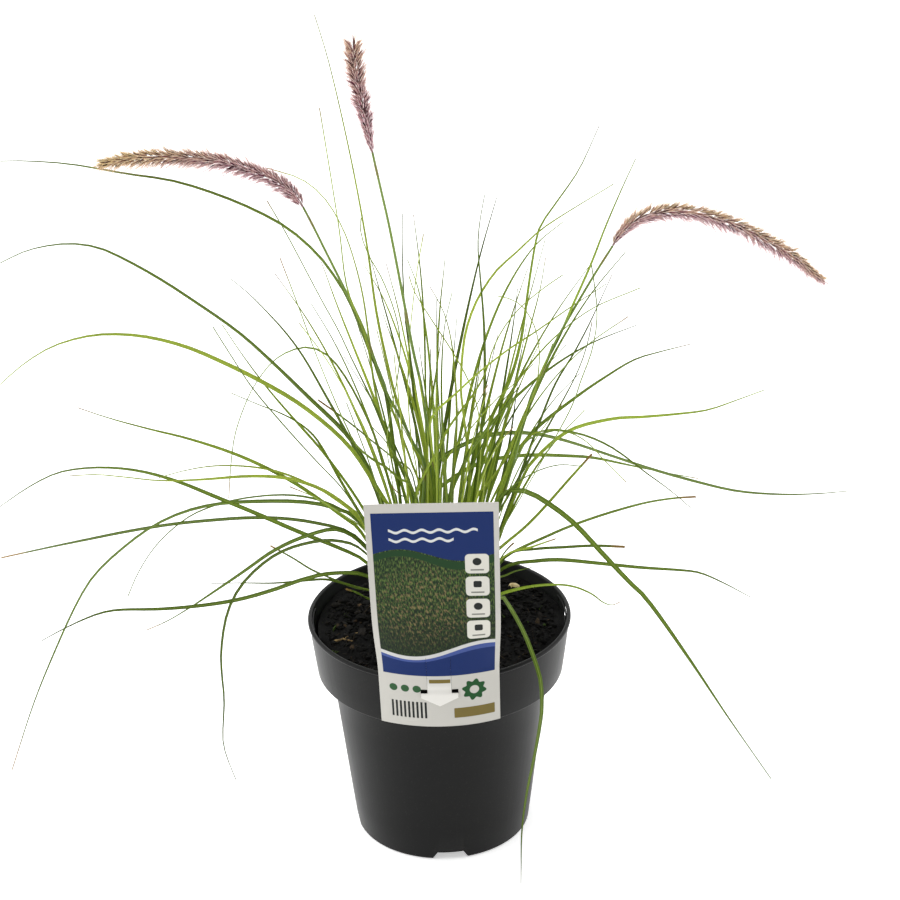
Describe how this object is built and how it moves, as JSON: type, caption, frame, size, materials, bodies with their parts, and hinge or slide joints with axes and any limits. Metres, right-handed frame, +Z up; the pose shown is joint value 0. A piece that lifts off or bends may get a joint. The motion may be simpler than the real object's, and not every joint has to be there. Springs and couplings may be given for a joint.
{
  "type": "potted fountain grass",
  "caption": "Tussock of long arching grass blades with bottle-brush flower heads, growing in a dark collared nursery pot with a printed plant tag.",
  "frame": {"origin": "centre of the pot's flat underside, on the surface that it stands on", "axes": "+Z up along the pot's axis; the plant tag faces -Y; +X is to the right as seen from the tag's side"},
  "size_m": [0.6691, 0.3831, 0.6101],
  "materials": {
    "pot_plastic": "fine matte moulded polypropylene",
    "bark_mix": "damp composted bark",
    "pebble_stone": "dull stone",
    "dry_wood": "dry bark",
    "tag_plastic": "printed white plastic sheet, satin",
    "culm_green": "smooth green stem",
    "flower_bristle": "mauve spikelets with pale bristles",
    "leaf_green": "satin green leaf with fine veins"
  },
  "bodies": {
    "root": {"pot": "pot_plastic", "potting_mix": "bark_mix", "pebble": "pebble_stone", "dry_twig": "dry_wood", "plant_tag": "tag_plastic", "culm_1": "culm_green", "flower_head_1": "flower_bristle", "culm_2": "culm_green", "flower_head_2": "flower_bristle", "culm_3": "culm_green", "flower_head_3": "flower_bristle", "tiller_01": "leaf_green", "tiller_02": "leaf_green", "tiller_03": "leaf_green", "tiller_04": "leaf_green", "tiller_05": "leaf_green", "tiller_06": "leaf_green", "tiller_07": "leaf_green", "tiller_08": "leaf_green", "tiller_09": "leaf_green", "tiller_10": "leaf_green", "tiller_11": "leaf_green", "tiller_12": "leaf_green", "tiller_13": "leaf_green", "tiller_14": "leaf_green", "tiller_15": "leaf_green", "tiller_16": "leaf_green", "tiller_17": "leaf_green", "tiller_18": "leaf_green", "tiller_19": "leaf_green", "tiller_20": "leaf_green", "tiller_21": "leaf_green", "tiller_22": "leaf_green", "tiller_23": "leaf_green", "tiller_24": "leaf_green", "tiller_25": "leaf_green", "tiller_26": "leaf_green", "tiller_27": "leaf_green", "tiller_28": "leaf_green", "tiller_29": "leaf_green", "tiller_30": "leaf_green", "tiller_31": "leaf_green", "tiller_32": "leaf_green", "tiller_33": "leaf_green", "tiller_34": "leaf_green"}
  },
  "joints": []
}
